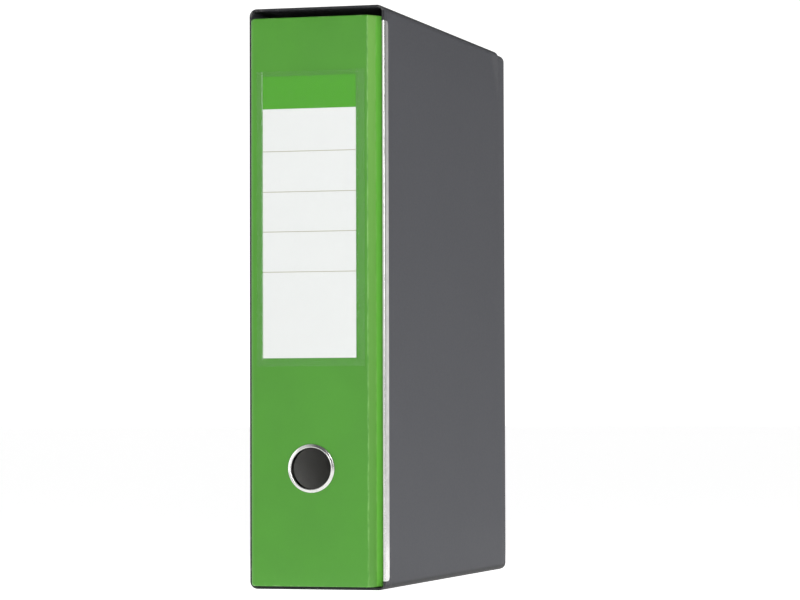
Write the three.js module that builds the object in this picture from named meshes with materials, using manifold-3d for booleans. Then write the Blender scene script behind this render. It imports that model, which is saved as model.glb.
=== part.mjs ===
// A lever arch file standing in its open-fronted slipcase.
// Millimetres, +Z up, +X right, the spine facing -Y.
// The origin is the middle of the slipcase's underside.
import * as THREE from 'three';
import { mergeVertices } from 'three/addons/utils/BufferGeometryUtils.js';
import Module from 'manifold-3d';

// ---- Driving dimensions ----

const GAP = 0.3; // kept between pieces that touch

// Slipcase
const CASE_WIDTH = 85;
const CASE_DEPTH = 290;
const CASE_HEIGHT = 350;
const CASE_BOARD = 1.6;
const CASE_FOLD = 4.5; // outside radius of the folded edges
const CASE_INNER_FOLD = 0.8;
const FOLD_SEGMENTS = 6;
const TOP_BOARD_LENGTH = 273; // the outer top board stops short of the rear
const TOP_STEP = 1.5; // how far the rear flap lies below the top board
const REAR_FLAP_UNDERLAP = 20;

// Edge guard on the slipcase's right front edge
const GUARD_SHEET = 0.3;
const GUARD_FLANGE = 8;
const GUARD_PROUD = 0.3;
const GUARD_WIDTH = 1.75;
const GUARD_BOTTOM = 5.4;
const GUARD_TOP = 340.5;
const GUARD_CORNER = 3;

// File: the three boards and what covers them
const FILE_LEFT_CLEARANCE = 0.4;
const FILE_WIDTH = 80;
const FILE_DEPTH = 291.5;
const FILE_HEIGHT = 341.8;
const FILE_PROUD = 4; // the spine stands out of the slipcase by this much
const SPINE_FOLD = 2;
const HINGE_FACET_ONE = [3.7, 5];
const HINGE_FACET_TWO = [2.4, 4.6];
const WRAP = 0.35;
const BOARD_OUTSIDE = 0.65;
const BOARD_INSIDE = 2.15;
const LINING_OUTSIDE = 2.45;
const COVER = 2.7; // whole thickness of a cover
const LINING_MARGIN = 4; // the lining stops this far from each outer edge
const BOARD_HINGE_GAP = 0.6;

// Spine fittings
const RING_CENTRE = -2.4;
const RING_HEIGHT = 72.5;
const RING_HOLE_RADIUS = 12.25;
const RING_BARREL_RADIUS = 12.95;
const RING_FLANGE_RADIUS = 14.6;
const RING_WASHER_RADIUS = 16.2;
const RING_CUTOUT_RADIUS = 13.4;
const LABEL_CENTRE = -3.3;
const LABEL_WIDTH = 58.6;
const LABEL_BOTTOM = 138.6;
const LABEL_HEIGHT = 169.6;
const LABEL_CARD = 0.3;
const POCKET_CENTRE = -2.5;
const POCKET_WIDTH = 67.8;
const POCKET_BOTTOM = 133.7;
const POCKET_HEIGHT = 177.5;
const POCKET_FILM = 0.25;
const POCKET_WELD = 2.2;

// Lever arch mechanism, in its own frame: x is the height above the back cover's inner face,
// y the distance from the spine's inner face, z measured from the middle of the file.
const POST_SPACING = 80;
const PLATE_NEAR = 14;
const PLATE_FAR = 86;
const PLATE_HALF_LENGTH = 62;
const PLATE_TOP = 1.5;
const PLATE_CORNER = 6;
const RIVET_NEAR = 20;
const RIVET_FAR = 80;
const RIVET_REACH = 54;
const RIVET_SHANK = 1.6;
const RIVET_OUTER_HEAD = 4;
const RIVET_INNER_HEAD = 3;
const RIVET_HEAD_HEIGHT = 0.5;
const RIVET_DOME = 1.2;
const WIRE_RADIUS = 2.1;
const SHAFT_RISE = 5;
const SHAFT_REACH = 25;
const ARCH_SHOULDER = 35; // where the straight legs end and the half circle begins
const ARCH_RADIUS = 25;
const POST_TOP = ARCH_SHOULDER - 0.4;
const POST_REACH = SHAFT_REACH + 2 * ARCH_RADIUS;
const POST_FOOT_RADIUS = 4;
const POST_FOOT_HEIGHT = 0.8;
const CRANK_RISE = 8.45;
const CRANK_REACH = 41.5;
const CRANK_HALF = 12;
const CRANK_SPLAY = 4; // how far each crank arm leans along the shaft
const WIRE_BEND = 4;
const WIRE_STEPS = 150;
const SADDLE_REACH = 27;
const SADDLE_ROOF = 3.6; // above the shaft's centre
const SADDLE_HALF_WIDTH = 4.5;
const SADDLE_HALF_LENGTH = 2.5;
const SADDLE_CORNER = 3;
const SHAFT_CLEARANCE = 0.35; // round the wire in its saddles
const LEVER_RISE = 10;
const LEVER_REACH = 58;
const LEVER_REST_DEGREES = 20; // above the plate, pointing at the spine
const LEVER_PLATE_END = 47.4;
const LEVER_HALF_WIDTH = 9;
const LEVER_SHEET = 1.2;
const LEVER_TOP = 4.4;
const LEVER_TAIL = 4.5;
const LEVER_PIN_RADIUS = 1.5;
const LEVER_PIN_HOLE = 1.9;
const LEVER_PIN_HEAD = [2.6, 1.2]; // radius, length
const BRACKET_HALF_WIDTH = 5;
const BRACKET_ROOF = 4.5; // above the lever pin's centre
const BRACKET_CORNER = 4;
const BRACKET_SIDE_GAP = 0.9;
const SPRING_SHEET = 0.5;
const SPRING_HALF_WIDTH = 5;
const SPRING_FOOT = [29, 34];
const SPRING_TIP = 43;
const ROLLER_ALONG = 17;
const ROLLER_BELOW = 1.5;
const ROLLER_RADIUS = 3.5;
const ROLLER_BORE = 1.6;
const ROLLER_PIN_RADIUS = 1.2;
const ROLLER_PIN_HOLE = 1.5;
const GRIP_ALONG = 51;
const GRIP_RADIUS = 3;
const GRIP_HALF_LENGTH = 12;
const BAR_BOTTOM = 5.3;
const BAR_SHEET = 1.2;
const BAR_HALF_WIDTH = 6.5;
const BAR_HALF_LENGTH = 58;
const BAR_CORNER = 5;
const SLEEVE_RADIUS = 3.9;
const SLEEVE_BORE = WIRE_RADIUS + 0.45;
const SLEEVE_ABOVE = 3;
const COLLAR_RADIUS = 5.2;
const COLLAR_HEIGHT = 1.6;

// ---- Places worked out from them ----

const CASE_LEFT = -(CASE_WIDTH + GUARD_PROUD) / 2;
const CASE_RIGHT = CASE_LEFT + CASE_WIDTH;
const CASE_FRONT = -CASE_DEPTH / 2;
const CASE_BACK = CASE_DEPTH / 2;
const FAR = 1000; // reaches past everything

const FILE_LEFT = CASE_LEFT + CASE_BOARD + FILE_LEFT_CLEARANCE;
const FILE_RIGHT = FILE_LEFT + FILE_WIDTH;
const FILE_FRONT = CASE_FRONT - FILE_PROUD;
const FILE_BACK = FILE_FRONT + FILE_DEPTH;
const FILE_BOTTOM = CASE_BOARD + GAP;
const FILE_TOP = FILE_BOTTOM + FILE_HEIGHT;
const SPINE_RIGHT = FILE_RIGHT - HINGE_FACET_ONE[0] - HINGE_FACET_TWO[0];
const HINGE_END = FILE_FRONT + HINGE_FACET_ONE[1] + HINGE_FACET_TWO[1];
const FILE_MIDDLE = (FILE_BOTTOM + FILE_TOP) / 2;

// ---- Materials ----

const finish = (color, roughness, metalness = 0, others = {}) =>
  new THREE.MeshStandardMaterial({ color, roughness, metalness, ...others });

const MATERIALS = {
  caseBoard: finish(0x5c5d62, 0.8),
  greenWrap: finish(0x54a63a, 0.4),
  greyBoard: finish(0x8f8a80, 0.9),
  lining: finish(0xe6e5df, 0.8),
  label: finish(0xf4f4f4, 0.7),
  film: finish(0xdfe8df, 0.1, 0, { transparent: true, opacity: 0.3 }),
  nickel: finish(0xc8c8cc, 0.25, 1),
  springSteel: finish(0x8b8c90, 0.35, 1),
  blackPlastic: finish(0x202124, 0.5),
};

// ---- Solid helpers ----

const wasm = await Module();
wasm.setup();

function toSolid(geometry) {
  const bare = geometry.clone();
  bare.deleteAttribute('normal');
  bare.deleteAttribute('uv');
  const merged = mergeVertices(bare, 1e-4);
  return new wasm.Manifold(new wasm.Mesh({
    numProp: 3,
    vertProperties: merged.attributes.position.array,
    triVerts: new Uint32Array(merged.index.array),
  }));
}

function toGeometry(solid) {
  const mesh = solid.getMesh();
  const geometry = new THREE.BufferGeometry();
  geometry.setAttribute('position', new THREE.BufferAttribute(mesh.vertProperties, 3));
  geometry.setIndex(new THREE.BufferAttribute(mesh.triVerts, 1));
  return geometry;
}

const combine = (operation) => (first, ...others) =>
  toGeometry(others.reduce((made, next) => made[operation](toSolid(next)), toSolid(first)));

const join = combine('add');
const cut = combine('subtract');
const common = combine('intersect');

function block([x0, x1], [y0, y1], [z0, z1]) {
  return new THREE.BoxGeometry(x1 - x0, y1 - y0, z1 - z0)
    .translate((x0 + x1) / 2, (y0 + y1) / 2, (z0 + z1) / 2);
}

function polygon(points) {
  return new THREE.Shape(points.map(([a, b]) => new THREE.Vector2(a, b)));
}

// A rectangle whose corners (left-low, right-low, right-high, left-high) have their own radii.
function roundedRectangle([a0, a1], [b0, b1], [lowLeft, lowRight, highRight, highLeft]) {
  const shape = new THREE.Shape();
  shape.moveTo(a0 + lowLeft, b0);
  shape.lineTo(a1 - lowRight, b0);
  if (lowRight) shape.absarc(a1 - lowRight, b0 + lowRight, lowRight, -Math.PI / 2, 0);
  shape.lineTo(a1, b1 - highRight);
  if (highRight) shape.absarc(a1 - highRight, b1 - highRight, highRight, 0, Math.PI / 2);
  shape.lineTo(a0 + highLeft, b1);
  if (highLeft) shape.absarc(a0 + highLeft, b1 - highLeft, highLeft, Math.PI / 2, Math.PI);
  shape.lineTo(a0, b0 + lowLeft);
  if (lowLeft) shape.absarc(a0 + lowLeft, b0 + lowLeft, lowLeft, Math.PI, 1.5 * Math.PI);
  return shape;
}

function withHole(shape, a, b, radius) {
  const hole = new THREE.Path();
  hole.absarc(a, b, radius, 0, 2 * Math.PI, true);
  shape.holes.push(hole);
  return shape;
}

function prism(shape, length, curveSegments = FOLD_SEGMENTS) {
  return new THREE.ExtrudeGeometry(shape, { depth: length, bevelEnabled: false, curveSegments });
}

// A shape drawn in X and Y, standing from z0 to z1.
const alongZ = (shape, [z0, z1], segments) => prism(shape, z1 - z0, segments).translate(0, 0, z0);

// A shape drawn in X and Z, lying from y0 to y1.
const alongY = (shape, [y0, y1], segments) =>
  prism(shape, y1 - y0, segments).rotateX(Math.PI / 2).translate(0, y1, 0);

// A shape drawn in Y and Z, lying from x0 to x1.
const CYCLE = new THREE.Matrix4().makeBasis(
  new THREE.Vector3(0, 1, 0),
  new THREE.Vector3(0, 0, 1),
  new THREE.Vector3(1, 0, 0),
);
const alongX = (shape, [x0, x1], segments) =>
  prism(shape, x1 - x0, segments).applyMatrix4(CYCLE).translate(x0, 0, 0);

// A closed [radius, height] outline turned about the Y axis, its points put in anticlockwise order.
function turned(outline, segments) {
  const points = outline.map(([radius, height]) => new THREE.Vector2(radius, height));
  if (THREE.ShapeUtils.area(points) < 0) points.reverse();
  points.push(points[0].clone());
  return new THREE.LatheGeometry(points, segments);
}

const aboutX = (geometry) => geometry.rotateZ(-Math.PI / 2);
const aboutZ = (geometry) => geometry.rotateX(Math.PI / 2);

function rod(radius, [from, to], segments = 16) {
  return new THREE.CylinderGeometry(radius, radius, to - from, segments)
    .translate(0, (from + to) / 2, 0);
}

const part = new THREE.Group();

function addPiece(name, geometry, material, group = part) {
  const mesh = new THREE.Mesh(geometry, material);
  mesh.name = name;
  group.add(mesh);
  return mesh;
}

// ---- Slipcase ----

// A block whose four long edges and rear edges are folded round; the front stays square.
function foldedBlock(inset, radius, height, front) {
  const x = [CASE_LEFT + inset, CASE_RIGHT - inset];
  const y = [front, CASE_BACK - inset];
  const z = [inset, height - inset];
  return common(
    alongY(roundedRectangle(x, z, [radius, radius, radius, radius]), y),
    alongZ(roundedRectangle(x, y, [0, 0, radius, radius]), z),
    alongX(roundedRectangle(y, z, [0, radius, radius, 0]), x),
  );
}

function caseShell(height) {
  return cut(
    foldedBlock(0, CASE_FOLD, height, CASE_FRONT),
    foldedBlock(CASE_BOARD, CASE_INNER_FOLD, height, CASE_FRONT - 10),
  );
}

function between([y0, y1], [z0, z1]) {
  return block([-FAR, FAR], [y0, y1], [z0, z1]);
}

const FOLD_LINE_LOW = CASE_FOLD;
const FOLD_LINE_HIGH = CASE_HEIGHT - CASE_FOLD;
const TOP_BOARD_END = CASE_FRONT + TOP_BOARD_LENGTH;

function guardZone() {
  const outside = CASE_RIGHT + GUARD_PROUD;
  const z = [GUARD_BOTTOM - GAP, GUARD_TOP + GAP];
  const y = [CASE_FRONT - 1, CASE_FRONT + GUARD_FLANGE + GAP];
  const reach = GUARD_SHEET + GAP;
  return [
    block([outside - reach, FAR], y, z),
    block([-FAR, outside - GUARD_WIDTH + reach], y, z),
    block([-FAR, FAR], [CASE_FRONT - 1, CASE_FRONT + reach], z),
  ].map((piece) => common(piece, block([0, FAR], [-FAR, 0], z)));
}

function buildCase() {
  const shell = caseShell(CASE_HEIGHT);
  const wrap = common(shell, between([-FAR, FAR], [FOLD_LINE_LOW + GAP, FOLD_LINE_HIGH - GAP]));
  addPiece('case_wrap', cut(wrap, ...guardZone()), MATERIALS.caseBoard);
  addPiece(
    'case_bottom',
    common(shell, between([-FAR, FAR], [-1, FOLD_LINE_LOW])),
    MATERIALS.caseBoard,
  );
  addPiece(
    'case_top',
    common(shell, between([-FAR, TOP_BOARD_END], [FOLD_LINE_HIGH, FAR])),
    MATERIALS.caseBoard,
  );
  const rearTop = CASE_HEIGHT - TOP_STEP;
  const flapTop = CASE_HEIGHT - CASE_BOARD - GAP;
  const underlap = block(
    [CASE_LEFT + CASE_BOARD + 2 * GAP, CASE_RIGHT - CASE_BOARD - 2 * GAP],
    [TOP_BOARD_END - REAR_FLAP_UNDERLAP, TOP_BOARD_END + 2],
    [rearTop - CASE_BOARD, flapTop],
  );
  const cap = common(caseShell(rearTop), between([TOP_BOARD_END + GAP, FAR], [FOLD_LINE_HIGH, FAR]));
  addPiece('case_rear_flap', join(cap, underlap), MATERIALS.caseBoard);
}

function buildEdgeGuard() {
  const outside = CASE_RIGHT + GUARD_PROUD;
  const inside = outside - GUARD_WIDTH;
  const back = CASE_FRONT + GUARD_FLANGE;
  const channel = polygon([
    [inside, CASE_FRONT],
    [outside, CASE_FRONT],
    [outside, back],
    [outside - GUARD_SHEET, back],
    [outside - GUARD_SHEET, CASE_FRONT + GUARD_SHEET],
    [inside + GUARD_SHEET, CASE_FRONT + GUARD_SHEET],
    [inside + GUARD_SHEET, back],
    [inside, back],
  ]);
  const side = roundedRectangle(
    [CASE_FRONT - 1, back],
    [GUARD_BOTTOM, GUARD_TOP],
    [0, GUARD_CORNER, GUARD_CORNER, 0],
  );
  const guard = common(
    alongZ(channel, [GUARD_BOTTOM, GUARD_TOP]),
    alongX(side, [inside - 1, outside + 1]),
  );
  addPiece('case_edge_guard', guard, MATERIALS.nickel);
}

// ---- File: wrap, boards and lining ----

// The line of the file's outside seen from above: back cover, spine, hinge strip, front cover.
function offsetCorners(offset, end) {
  const corners = [
    [FILE_LEFT, end],
    [FILE_LEFT, FILE_FRONT],
    [SPINE_RIGHT, FILE_FRONT],
    [SPINE_RIGHT + HINGE_FACET_ONE[0], FILE_FRONT + HINGE_FACET_ONE[1]],
    [FILE_RIGHT, HINGE_END],
    [FILE_RIGHT, end],
  ].map(([x, y]) => new THREE.Vector2(x, y));
  const headings = corners.slice(1).map((corner, i) => corner.clone().sub(corners[i]).normalize());
  return corners.map((corner, i) => {
    const before = headings[Math.max(i - 1, 0)];
    const after = headings[Math.min(i, headings.length - 1)];
    const inward = new THREE.Vector2(-before.y - after.y, before.x + after.x).normalize();
    const reach = offset / (inward.x * -before.y + inward.y * before.x);
    return corner.clone().addScaledVector(inward, reach);
  });
}

// The same line as a path of points, with the fold between back cover and spine rounded.
function coverLine(offset, end) {
  const corners = offsetCorners(offset, end);
  const radius = SPINE_FOLD - offset;
  if (radius <= 0) return corners;
  const centre = corners[1].clone().addScalar(radius);
  const arc = [];
  for (let i = 0; i <= FOLD_SEGMENTS; i += 1) {
    const angle = Math.PI + (Math.PI / 2) * (i / FOLD_SEGMENTS);
    const spoke = new THREE.Vector2(Math.cos(angle), Math.sin(angle));
    arc.push(centre.clone().addScaledVector(spoke, radius));
  }
  return [corners[0], ...arc, ...corners.slice(2)];
}

// A U-shaped layer between two depths below the outside, ending at the given line at the back.
function coverLayer([outside, inside], end, z) {
  const outline = [...coverLine(outside, end), ...coverLine(inside, end).reverse()];
  return alongZ(new THREE.Shape(outline), z);
}

function fingerCutout() {
  return rod(RING_CUTOUT_RADIUS, [FILE_FRONT - 5, FILE_FRONT + 10], 32)
    .translate(RING_CENTRE, 0, RING_HEIGHT);
}

const BACK_INNER_FACE = FILE_LEFT + COVER;
const SPINE_INNER_FACE = FILE_FRONT + COVER;

const RIVET_PLACES = [RIVET_NEAR, RIVET_FAR].flatMap((reach) =>
  [-RIVET_REACH, RIVET_REACH].map((z) => [SPINE_INNER_FACE + reach, FILE_MIDDLE + z]));

function rivetHoles(radius, [x0, x1]) {
  return RIVET_PLACES.map(([y, z]) => aboutX(rod(radius, [x0, x1])).translate(0, y, z));
}

function buildCovers() {
  const full = [FILE_BOTTOM, FILE_TOP];
  const boards = [FILE_BOTTOM + BOARD_OUTSIDE, FILE_TOP - BOARD_OUTSIDE];
  const shankHole = RIVET_SHANK + GAP;
  const headHole = RIVET_OUTER_HEAD + GAP;

  const tray = cut(
    coverLayer([0, BOARD_INSIDE], FILE_BACK, full),
    coverLayer([WRAP, BOARD_INSIDE + 1], FILE_BACK - WRAP, [full[0] + WRAP, full[1] - WRAP]),
  );
  addPiece(
    'cover_wrap',
    cut(tray, fingerCutout(), ...rivetHoles(headHole, [FILE_LEFT - 1, FILE_LEFT + BOARD_OUTSIDE])),
    MATERIALS.greenWrap,
  );

  const spine = block(
    [FILE_LEFT + COVER + GAP, SPINE_RIGHT - BOARD_HINGE_GAP],
    [FILE_FRONT + BOARD_OUTSIDE, FILE_FRONT + BOARD_INSIDE],
    boards,
  );
  addPiece('spine_board', cut(spine, fingerCutout()), MATERIALS.greyBoard);

  const back = block(
    [FILE_LEFT + BOARD_OUTSIDE, FILE_LEFT + BOARD_INSIDE],
    [FILE_FRONT + COVER + GAP, FILE_BACK - BOARD_OUTSIDE],
    boards,
  );
  const recess = rivetHoles(headHole, [FILE_LEFT - 1, FILE_LEFT + BOARD_OUTSIDE + 0.15]);
  addPiece(
    'back_cover_board',
    cut(back, ...rivetHoles(shankHole, [FILE_LEFT - 1, FILE_LEFT + COVER]), ...recess),
    MATERIALS.greyBoard,
  );

  addPiece(
    'front_cover_board',
    block(
      [FILE_RIGHT - BOARD_INSIDE, FILE_RIGHT - BOARD_OUTSIDE],
      [HINGE_END + BOARD_HINGE_GAP, FILE_BACK - BOARD_OUTSIDE],
      boards,
    ),
    MATERIALS.greyBoard,
  );

  const lining = coverLayer(
    [LINING_OUTSIDE, COVER],
    FILE_BACK - LINING_MARGIN,
    [FILE_BOTTOM + LINING_MARGIN, FILE_TOP - LINING_MARGIN],
  );
  addPiece(
    'inner_lining',
    cut(lining, fingerCutout(), ...rivetHoles(shankHole, [FILE_LEFT, FILE_LEFT + COVER + 1])),
    MATERIALS.lining,
  );
}

// ---- Spine fittings ----

function buildFingerRing() {
  const flangeBack = -GAP;
  const flangeFront = flangeBack - 1;
  const barrelEnd = COVER + GAP + 0.6;
  const ring = turned([
    [RING_HOLE_RADIUS, barrelEnd],
    [RING_BARREL_RADIUS, barrelEnd],
    [RING_BARREL_RADIUS, flangeBack],
    [RING_FLANGE_RADIUS, flangeBack],
    [RING_FLANGE_RADIUS, flangeBack - 0.35],
    [RING_FLANGE_RADIUS - 0.5, flangeFront + 0.2],
    [RING_FLANGE_RADIUS - 1.1, flangeFront],
    [RING_HOLE_RADIUS + 0.7, flangeFront],
    [RING_HOLE_RADIUS + 0.2, flangeFront + 0.2],
    [RING_HOLE_RADIUS, flangeFront + 0.6],
  ], 40);
  addPiece('finger_ring', ring.translate(RING_CENTRE, FILE_FRONT, RING_HEIGHT), MATERIALS.nickel);

  const washer = turned([
    [RING_BARREL_RADIUS + GAP, COVER + GAP],
    [RING_BARREL_RADIUS + GAP, barrelEnd],
    [RING_WASHER_RADIUS - 0.4, barrelEnd],
    [RING_WASHER_RADIUS, COVER + GAP],
  ], 40);
  addPiece(
    'finger_ring_washer',
    washer.translate(RING_CENTRE, FILE_FRONT, RING_HEIGHT),
    MATERIALS.nickel,
  );
}

function buildLabel() {
  const cardBack = FILE_FRONT - GAP;
  const cardFront = cardBack - LABEL_CARD;
  const half = LABEL_WIDTH / 2;
  addPiece(
    'label_card',
    block(
      [LABEL_CENTRE - half, LABEL_CENTRE + half],
      [cardFront, cardBack],
      [LABEL_BOTTOM, LABEL_BOTTOM + LABEL_HEIGHT],
    ),
    MATERIALS.label,
  );

  // The film lies over the card and is welded to the wrap at its sides and foot; its top is open.
  const x = [POCKET_CENTRE - POCKET_WIDTH / 2, POCKET_CENTRE + POCKET_WIDTH / 2];
  const z = [POCKET_BOTTOM, POCKET_BOTTOM + POCKET_HEIGHT];
  const filmBack = cardFront - GAP;
  const film = block(x, [filmBack - POCKET_FILM, cardBack], z);
  const room = block(
    [x[0] + POCKET_WELD, x[1] - POCKET_WELD],
    [filmBack, cardBack + 1],
    [z[0] + POCKET_WELD, z[1] + 1],
  );
  addPiece('label_pocket', cut(film, room), MATERIALS.film);
}

// ---- Lever arch mechanism ----

const mechanism = new THREE.Group();
mechanism.position.set(BACK_INNER_FACE, SPINE_INNER_FACE, FILE_MIDDLE);
part.add(mechanism);

const PLATE_TOP_CLEAR = PLATE_TOP + GAP;

function buildPlate() {
  const corners = [PLATE_CORNER, PLATE_CORNER, PLATE_CORNER, PLATE_CORNER];
  const outline = roundedRectangle(
    [PLATE_NEAR, PLATE_FAR],
    [-PLATE_HALF_LENGTH, PLATE_HALF_LENGTH],
    corners,
  );
  for (const reach of [RIVET_NEAR, RIVET_FAR]) {
    for (const side of [-1, 1]) withHole(outline, reach, side * RIVET_REACH, RIVET_SHANK + GAP);
  }
  addPiece('mechanism_plate', alongX(outline, [GAP, PLATE_TOP], 5), MATERIALS.nickel, mechanism);
}

function buildRivets() {
  const outerFace = -COVER;
  RIVET_PLACES.forEach(([y, z], i) => {
    const rivet = aboutX(turned([
      [0, outerFace],
      [RIVET_OUTER_HEAD, outerFace],
      [RIVET_OUTER_HEAD, outerFace + RIVET_HEAD_HEIGHT],
      [RIVET_SHANK, outerFace + RIVET_HEAD_HEIGHT],
      [RIVET_SHANK, PLATE_TOP_CLEAR],
      [RIVET_INNER_HEAD, PLATE_TOP_CLEAR],
      [RIVET_INNER_HEAD * 0.8, PLATE_TOP_CLEAR + RIVET_DOME * 0.75],
      [0, PLATE_TOP_CLEAR + RIVET_DOME],
    ], 14));
    rivet.translate(BACK_INNER_FACE, y, z);
    addPiece(`rivet_${i + 1}`, rivet, MATERIALS.nickel);
  });
}

function buildPosts() {
  [['lower', -1], ['upper', 1]].forEach(([name, side]) => {
    const footTop = PLATE_TOP_CLEAR + POST_FOOT_HEIGHT;
    const post = aboutX(turned([
      [0, PLATE_TOP_CLEAR],
      [POST_FOOT_RADIUS, PLATE_TOP_CLEAR],
      [POST_FOOT_RADIUS * 0.9, footTop],
      [WIRE_RADIUS, footTop],
      [WIRE_RADIUS, POST_TOP - 0.5],
      [WIRE_RADIUS - 0.4, POST_TOP],
      [0, POST_TOP],
    ], 14));
    post.translate(0, POST_REACH, side * POST_SPACING / 2);
    addPiece(`post_${name}`, post, MATERIALS.nickel, mechanism);
  });
}

function buildSaddles() {
  [['lower', -1], ['upper', 1]].forEach(([name, side]) => {
    const outline = roundedRectangle(
      [PLATE_TOP_CLEAR, SHAFT_RISE + SADDLE_ROOF],
      [SHAFT_REACH - SADDLE_HALF_WIDTH, SHAFT_REACH + SADDLE_HALF_WIDTH],
      [0, SADDLE_CORNER, SADDLE_CORNER, 0],
    );
    withHole(outline, SHAFT_RISE, SHAFT_REACH, WIRE_RADIUS + SHAFT_CLEARANCE);
    const middle = side * SADDLE_REACH;
    addPiece(
      `arch_saddle_${name}`,
      alongZ(outline, [middle - SADDLE_HALF_LENGTH, middle + SADDLE_HALF_LENGTH], 5),
      MATERIALS.nickel,
      mechanism,
    );
  });
}

// One bent wire: an arch at each end, legs down to the shaft line, and a crank in the middle.
function archCentreline() {
  const half = POST_SPACING / 2;
  const point = (x, y, z) => new THREE.Vector3(x, y, z);
  const path = new THREE.CurvePath();
  const quarter = 0.5523 * ARCH_RADIUS; // handle length of a quarter circle
  const top = ARCH_SHOULDER + ARCH_RADIUS;
  const middle = SHAFT_REACH + ARCH_RADIUS;

  // A half circle in two quarters, from the post down to the leg or the other way round.
  function addArch(z, downwards) {
    const quarters = [
      [
        point(ARCH_SHOULDER, POST_REACH, z),
        point(ARCH_SHOULDER + quarter, POST_REACH, z),
        point(top, middle + quarter, z),
        point(top, middle, z),
      ],
      [
        point(top, middle, z),
        point(top, middle - quarter, z),
        point(ARCH_SHOULDER + quarter, SHAFT_REACH, z),
        point(ARCH_SHOULDER, SHAFT_REACH, z),
      ],
    ];
    const ordered = downwards ? quarters : quarters.map((points) => points.reverse()).reverse();
    ordered.forEach((points) => path.add(new THREE.CubicBezierCurve3(...points)));
  }

  function addBends(points) {
    let start = points[0];
    for (let i = 1; i < points.length - 1; i += 1) {
      const before = points[i].clone().sub(points[i - 1]).setLength(WIRE_BEND);
      const after = points[i + 1].clone().sub(points[i]).setLength(WIRE_BEND);
      const enter = points[i].clone().sub(before);
      const leave = points[i].clone().add(after);
      path.add(new THREE.LineCurve3(start, enter));
      path.add(new THREE.QuadraticBezierCurve3(enter, points[i], leave));
      start = leave;
    }
    path.add(new THREE.LineCurve3(start, points[points.length - 1]));
  }

  addArch(-half, true);
  addBends([
    point(ARCH_SHOULDER, SHAFT_REACH, -half),
    point(SHAFT_RISE, SHAFT_REACH, -half),
    point(SHAFT_RISE, SHAFT_REACH, -CRANK_HALF - CRANK_SPLAY),
    point(CRANK_RISE, CRANK_REACH, -CRANK_HALF),
    point(CRANK_RISE, CRANK_REACH, CRANK_HALF),
    point(SHAFT_RISE, SHAFT_REACH, CRANK_HALF + CRANK_SPLAY),
    point(SHAFT_RISE, SHAFT_REACH, half),
    point(ARCH_SHOULDER, SHAFT_REACH, half),
  ]);
  addArch(half, false);
  return path;
}

function buildArchWire() {
  const section = new THREE.Shape().absarc(0, 0, WIRE_RADIUS, 0, 2 * Math.PI);
  const wire = new THREE.ExtrudeGeometry(section, {
    steps: WIRE_STEPS,
    bevelEnabled: false,
    curveSegments: 4,
    extrudePath: archCentreline(),
  });
  addPiece('arch_wire', wire, MATERIALS.nickel, mechanism);
}

function buildLeverBracket() {
  const foot = [PLATE_TOP_CLEAR, PLATE_TOP_CLEAR + LEVER_SHEET];
  const inside = LEVER_HALF_WIDTH + BRACKET_SIDE_GAP;
  const outside = inside + LEVER_SHEET;
  const reach = [LEVER_REACH - BRACKET_HALF_WIDTH, LEVER_REACH + BRACKET_HALF_WIDTH];
  const ear = roundedRectangle(
    [foot[0], LEVER_RISE + BRACKET_ROOF],
    reach,
    [0, BRACKET_CORNER, BRACKET_CORNER, 0],
  );
  withHole(ear, LEVER_RISE, LEVER_REACH, LEVER_PIN_RADIUS + GAP);
  const bracket = join(
    block(foot, reach, [-outside, outside]),
    alongZ(ear, [-outside, -inside], 5),
    alongZ(ear, [inside, outside], 5),
  );
  addPiece('lever_bracket', bracket, MATERIALS.nickel, mechanism);

  const [headRadius, headLength] = LEVER_PIN_HEAD;
  const pin = aboutZ(turned([
    [0, -outside - headLength],
    [headRadius, -outside - headLength],
    [headRadius, -outside - GAP],
    [LEVER_PIN_RADIUS, -outside - GAP],
    [LEVER_PIN_RADIUS, outside + GAP],
    [headRadius, outside + GAP],
    [headRadius, outside + headLength],
    [0, outside + headLength],
  ], 14));
  addPiece('lever_pin', pin.translate(LEVER_RISE, LEVER_REACH, 0), MATERIALS.springSteel, mechanism);
}

function buildLeafSpring() {
  const foot = PLATE_TOP_CLEAR;
  const tip = CRANK_RISE - WIRE_RADIUS - 0.4;
  const [heel, bend] = SPRING_FOOT;
  const mitre = 0.4;
  const strip = polygon([
    [foot, heel],
    [foot + SPRING_SHEET, heel],
    [foot + SPRING_SHEET, bend],
    [tip, SPRING_TIP],
    [tip - SPRING_SHEET, SPRING_TIP + mitre],
    [foot, bend + mitre],
  ]);
  const width = [-SPRING_HALF_WIDTH, SPRING_HALF_WIDTH];
  addPiece('leaf_spring', alongZ(strip, width), MATERIALS.springSteel, mechanism);
}

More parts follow.
